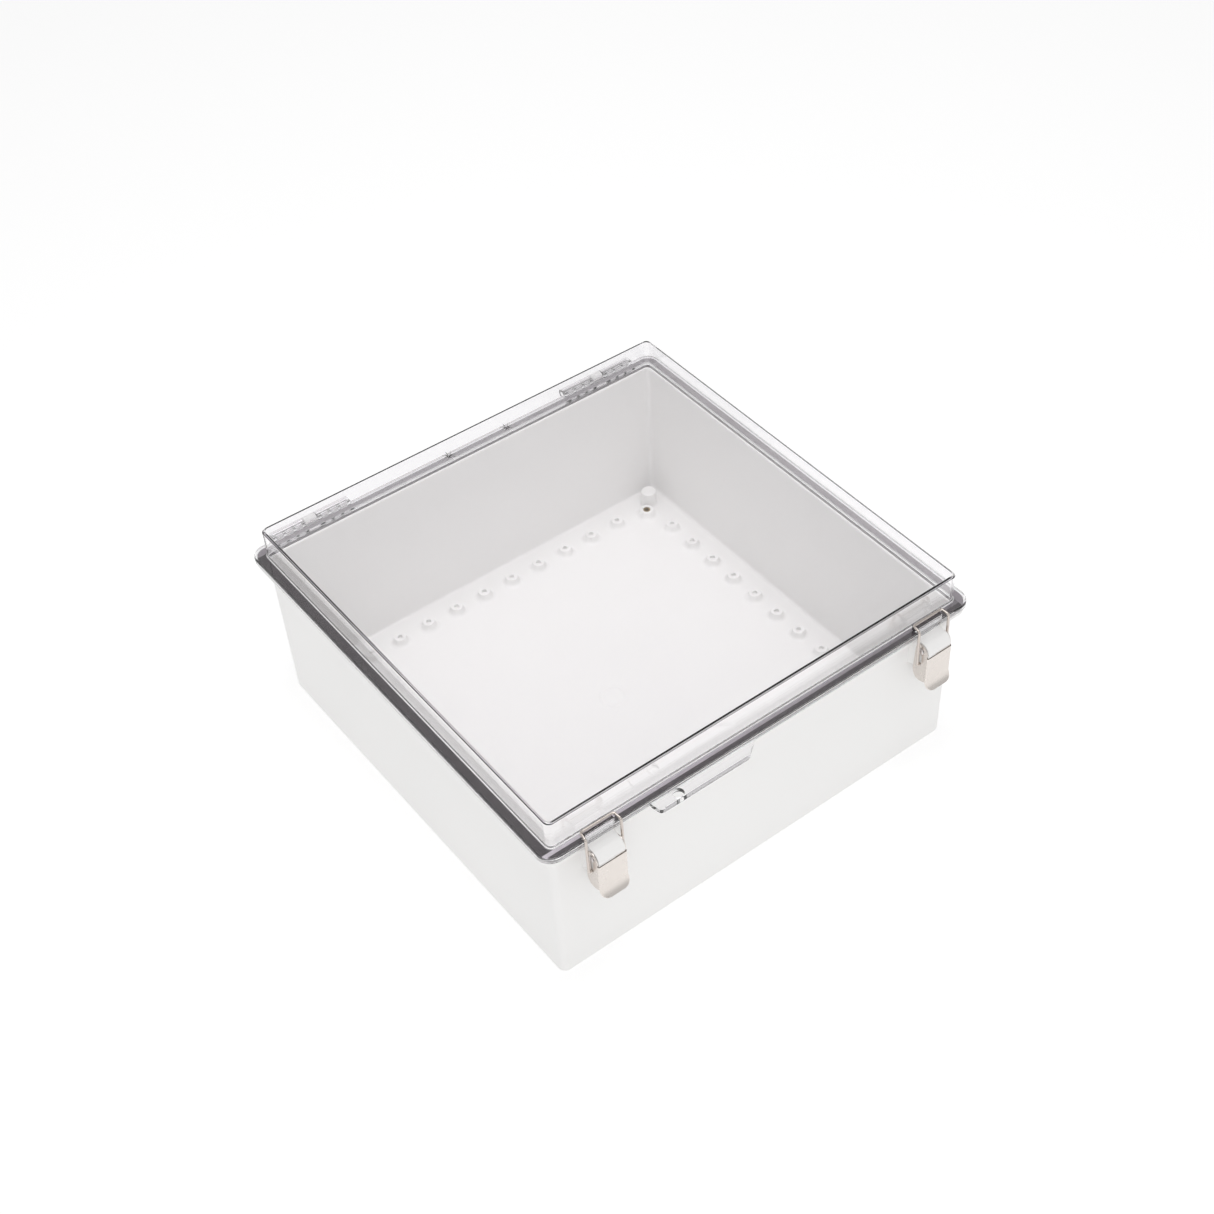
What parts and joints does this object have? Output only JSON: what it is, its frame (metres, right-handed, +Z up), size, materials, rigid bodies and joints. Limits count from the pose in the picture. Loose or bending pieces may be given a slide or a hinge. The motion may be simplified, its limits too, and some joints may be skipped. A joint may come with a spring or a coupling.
{
  "type": "latched enclosure box",
  "caption": "Square light grey tray with rows of screw bosses under a clear hinged lid, closed by two over-centre wire latches.",
  "frame": {"origin": "centre of the tray's underside, on the round pad in the middle of the shallow recess", "axes": "+Z up through the lid; the latches are on the -Y side, the hinges on the +Y side, +X to the right when facing the latches"},
  "size_m": [0.399, 0.4241, 0.1747],
  "materials": {
    "tray": "moulded, satin",
    "lid": "clear, polished",
    "gasket": "matte",
    "latch_steel": "satin stainless",
    "pin": "drawn stainless",
    "brass": "knurled insert, dull"
  },
  "bodies": {
    "base": {"base_tray": "tray", "hinge_pin_left": "pin", "hinge_pin_right": "pin", "latch_pivot_pin_left": "pin", "latch_pivot_pin_right": "pin", "panel_insert_front_left": "brass", "panel_insert_back_left": "brass", "panel_insert_front_right": "brass", "panel_insert_back_right": "brass", "mounting_insert_front_left": "brass", "mounting_insert_back_left": "brass", "mounting_insert_front_right": "brass", "mounting_insert_back_right": "brass"},
    "lid": {"clear_lid": "lid", "lid_gasket": "gasket"},
    "lever_left": {"latch_lever_left": "latch_steel"},
    "lever_right": {"latch_lever_right": "latch_steel"},
    "bail_left": {"latch_bail_left": "latch_steel"},
    "bail_right": {"latch_bail_right": "latch_steel"}
  },
  "joints": [
    {"name": "lid_hinge", "type": "hinge", "parent": "base", "child": "lid", "pos_m": [0, 0.2038, 0.1463], "axis": [-1, 0, 0], "range_deg": [0, 180]},
    {"name": "latch_lever_left_swing", "type": "hinge", "parent": "base", "child": "lever_left", "pos_m": [-0.15425, -0.205, 0.1345], "axis": [-1, 0, 0], "range_deg": [0, 110]},
    {"name": "latch_bail_left_swing", "type": "hinge", "parent": "lever_left", "child": "bail_left", "pos_m": [-0.15425, -0.2043, 0.121], "axis": [1, 0, 0], "range_deg": [0, 176]},
    {"name": "latch_lever_right_swing", "type": "hinge", "parent": "base", "child": "lever_right", "pos_m": [0.15425, -0.205, 0.1345], "axis": [-1, 0, 0], "range_deg": [0, 110]},
    {"name": "latch_bail_right_swing", "type": "hinge", "parent": "lever_right", "child": "bail_right", "pos_m": [0.15425, -0.2043, 0.121], "axis": [1, 0, 0], "range_deg": [0, 176]}
  ],
  "couplings": [
    {"joint": "latch_bail_left_swing", "follows": "latch_lever_left_swing", "ratio": 1.6},
    {"joint": "latch_bail_right_swing", "follows": "latch_lever_right_swing", "ratio": 1.6}
  ]
}
